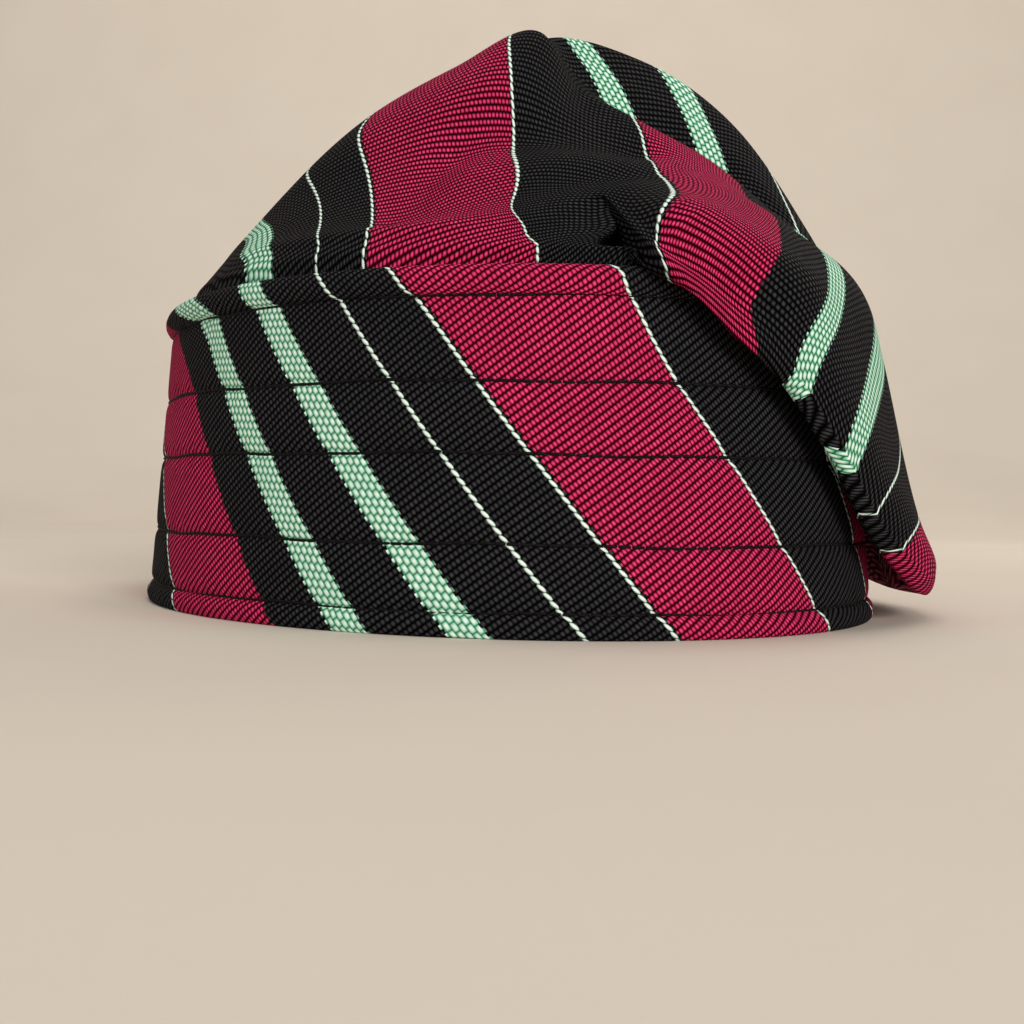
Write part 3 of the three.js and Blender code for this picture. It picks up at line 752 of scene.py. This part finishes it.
def cloth_places(points, share, table, edge, low, high):
    """Places in the cloth of a piece. Across the stripes, s goes evenly from the table's first value at row
    edge to its second at row low, and on to its third at row high as low + (high - low) w + 4 bow w (1 - w),
    where w is the share of the length up the strip. It leans past row high, and hooks at the lip."""
    step = np.linalg.norm(np.diff(points, axis=0), axis=-1)
    length = np.concatenate([0 * step[:1], np.cumsum(step, 0)])
    first, second, third, bow = read_table(table, np.maximum(share, table[0][0]))
    below = np.clip((length[low] - length) / np.maximum(length[low] - length[edge], 1e-6), 0, 1)
    w = np.clip((length - length[low]) / (length[high] - length[low]), 0, 1)
    s = second + (first - second) * below + (third - second) * w + 4 * bow * w * (1 - w)
    lean = LEAN * np.clip((share - LEAN_FROM) / (LEAN_FULL - LEAN_FROM), 0, 1)
    s = s - lean * np.clip((length - length[high]) / TURN_REACH, 0, 1)
    hook = HOOK * np.clip((share - HOOK_FROM) / (HOOK_FULL - HOOK_FROM), 0, 1) * (low == LIP_ROW)
    hook = hook * (1 - np.clip(np.abs(length - length[low]) / TURN_REACH, 0, 1))
    return on_the_cloth(points, s, hook, np.interp(share, *zip(*LOOSE)))


half = CROWN_COLUMNS // 2
numbers = np.arange(crown_points[..., 0].size).reshape(crown_points.shape[:2])
numbers[-1, half + 1 :] = numbers[-1, half - 1 : 0 : -1]
inner_numbers = np.arange(lining[..., 0].size).reshape(lining.shape[:2])
inner_numbers[-1, half + 1 :] = inner_numbers[-1, half - 1 : 0 : -1]
inner_numbers = inner_numbers + crown_points[..., 0].size
faces, corners = [], []
for side in (np.arange(0, half + 1), np.arange(half, CROWN_COLUMNS + 1) % CROWN_COLUMNS):
    points, share = crown_points[:, side], (1 - np.cos(turn[side])) / 2
    front = side[1] < half
    table = FRONT_STRIPES if front else BACK_STRIPES
    places = cloth_places(points, share, table, EDGE_ROW, LIP_ROW, CREST_ROW)
    outer = quads_of(places)
    if not front:
        strip = quads_of(cloth_places(points, share, PLEAT_STRIPES, CREST_ROW, CREST_ROW, -1))
        rows, middle = np.arange(len(points) - 1)[:, None], (share[:-1] + share[1:]) / 2
        behind = (rows >= CREST_ROW) & (middle > PLEAT_FROM)
        outer = np.where(behind.reshape(-1, 1, 1), strip, outer)
    faces += [quads_of(numbers[:, side]), quads_of(inner_numbers[:, side])[:, ::-1]]
    corners += [outer, quads_of(places[::LINING_STEP])[:, ::-1]]
    hem = np.stack([inner_numbers[0, side], numbers[0, side]])
    faces.append(quads_of(hem))
    corners.append(quads_of(np.stack([places[0], places[0]])))
crown = cloth_piece(
    "crown_cloth",
    np.concatenate([crown_points.reshape(-1, 3), lining.reshape(-1, 3)]),
    np.concatenate(faces),
    np.concatenate(corners),
)
# The crown's copy of the cloth starts its painted highlight higher than the band's and so is darker: painted
# shade for the crown taking less light than the band.
crown.data.materials.append(woven_cotton("ribbed cotton of the crown", painted_highlight_from=0.6))
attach(crown, "root")
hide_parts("crown")


# The set is a pale floor of matt paper that sweeps up into a plain backdrop, and soft light from large
# panels, the strongest in front, to the right and a little above.
FLOOR_BACK, FLOOR_BEND = 700.0, 900.0  # millimetres: where the floor starts to turn up, and how round
FLOOR_HALF, FLOOR_LENGTH = 4000.0, 5500.0  # half the width, and the length back to the top of the wall
FLOOR_COLUMNS, FLOOR_ROWS = 3, 400


def sweep(across, along):
    """A flat floor that turns up through a quarter circle into a wall, carried straight from side to side."""
    a = np.clip((along - FLOOR_BACK) / FLOOR_BEND, 0, np.pi / 2)
    rest = np.maximum(along - FLOOR_BACK - FLOOR_BEND * np.pi / 2, 0)
    y = np.minimum(along, FLOOR_BACK) + FLOOR_BEND * np.sin(a)
    z = FLOOR_BEND * (1 - np.cos(a)) + rest
    return np.stack(np.broadcast_arrays(across, y, z), -1)


across = np.linspace(-FLOOR_HALF, FLOOR_HALF, FLOOR_COLUMNS)[None, :]
along = np.linspace(-FLOOR_HALF, FLOOR_LENGTH, FLOOR_ROWS)[:, None]
ground = sweep(across, along)
numbers = np.arange(ground[..., 0].size).reshape(ground.shape[:2])
backdrop = cloth_piece("backdrop", ground.reshape(-1, 3), quads_of(numbers), quads_of(ground[..., :2]))

# Matt paper: it has no shine, and a mottle so faint that it only keeps the floor from looking flat.
MOTTLES = 9.0  # to a metre
paper = bpy.data.materials.new("matt paper of the backdrop")
paper.use_nodes = True
tree = paper.node_tree
mottle = node(tree, "ShaderNodeTexNoise", node(tree, "ShaderNodeTexCoord", out=3), None, MOTTLES, 4.0)
tone = node(tree, "ShaderNodeValToRGB", mottle)
tone.node.color_ramp.elements[0].color = linear("#dcd2c6")
tone.node.color_ramp.elements[1].color = linear("#e3dacf")
tree.links.new(tone, tree.nodes["Principled BSDF"].inputs["Base Color"])
tree.nodes["Principled BSDF"].inputs["Roughness"].default_value = 0.9
tree.nodes["Principled BSDF"].inputs["Specular IOR Level"].default_value = 0.1
backdrop.data.materials.append(paper)

world = bpy.data.worlds.new("studio")
world.use_nodes = True
world.node_tree.nodes["Background"].inputs["Color"].default_value = linear("#f6f1ea")
world.node_tree.nodes["Background"].inputs["Strength"].default_value = 0.27
bpy.context.scene.world = world
bpy.context.scene.view_settings.view_transform = "Standard"

# Each panel: name, where it stands and what it faces in the folding frame (millimetres), width, watts.
PANELS = [
    ("key panel", (750, -1900, 700), (10, 0, 75), 0.8, 31.0),
    ("left panel", (-1500, -900, 600), (10, 0, 75), 0.9, 3.5),
    ("rim panel", (600, 500, 500), (10, 0, 75), 0.4, 1.0),
    ("backdrop panel", (0, 300, 2200), (0, 1500, 600), 1.5, 19.0),
]
for name, place, target, width, watts in PANELS:
    lamp = bpy.data.lights.new(name, "AREA")
    lamp.size, lamp.energy, lamp.color = width, watts, linear("#fffaf3")[:3]
    panel = bpy.data.objects.new(name, lamp)
    panel.location = in_wearers_frame(np.array(place, float))
    aim = Vector(in_wearers_frame(np.array(target, float))) - panel.location
    panel.rotation_euler = aim.to_track_quat("-Z", "Y").to_euler()
    bpy.context.scene.collection.objects.link(panel)

# The camera stands level in front of the cap, a little to the wearer's right, as in the photograph. Its lens
# and the row that it looks along are in the photograph's pixels.
VIEW_FROM, LENS_PIXELS, CENTRE_ROW, ROLL = (3.65, -355.0, 27.3), 1331.0, 497.0, math.radians(0.9)
IMAGE, SENSOR = 1024, 36.0  # the photograph's side in pixels, the camera's in millimetres
camera = bpy.data.objects.new("camera", bpy.data.cameras.new("camera"))
camera.data.sensor_width = SENSOR
camera.data.lens = SENSOR * LENS_PIXELS / IMAGE
camera.data.shift_y = -(IMAGE / 2 - CENTRE_ROW) / IMAGE
camera.data.clip_start = 0.01
camera.matrix_world = (
    Matrix.Translation(in_wearers_frame(np.array(VIEW_FROM)))
    @ Matrix.Rotation(-FOLD_TURN, 4, "Z")
    @ Matrix.Rotation(math.pi / 2, 4, "X")
    @ Matrix.Rotation(ROLL, 4, "Z")
)
bpy.context.scene.collection.objects.link(camera)
bpy.context.scene.camera = camera
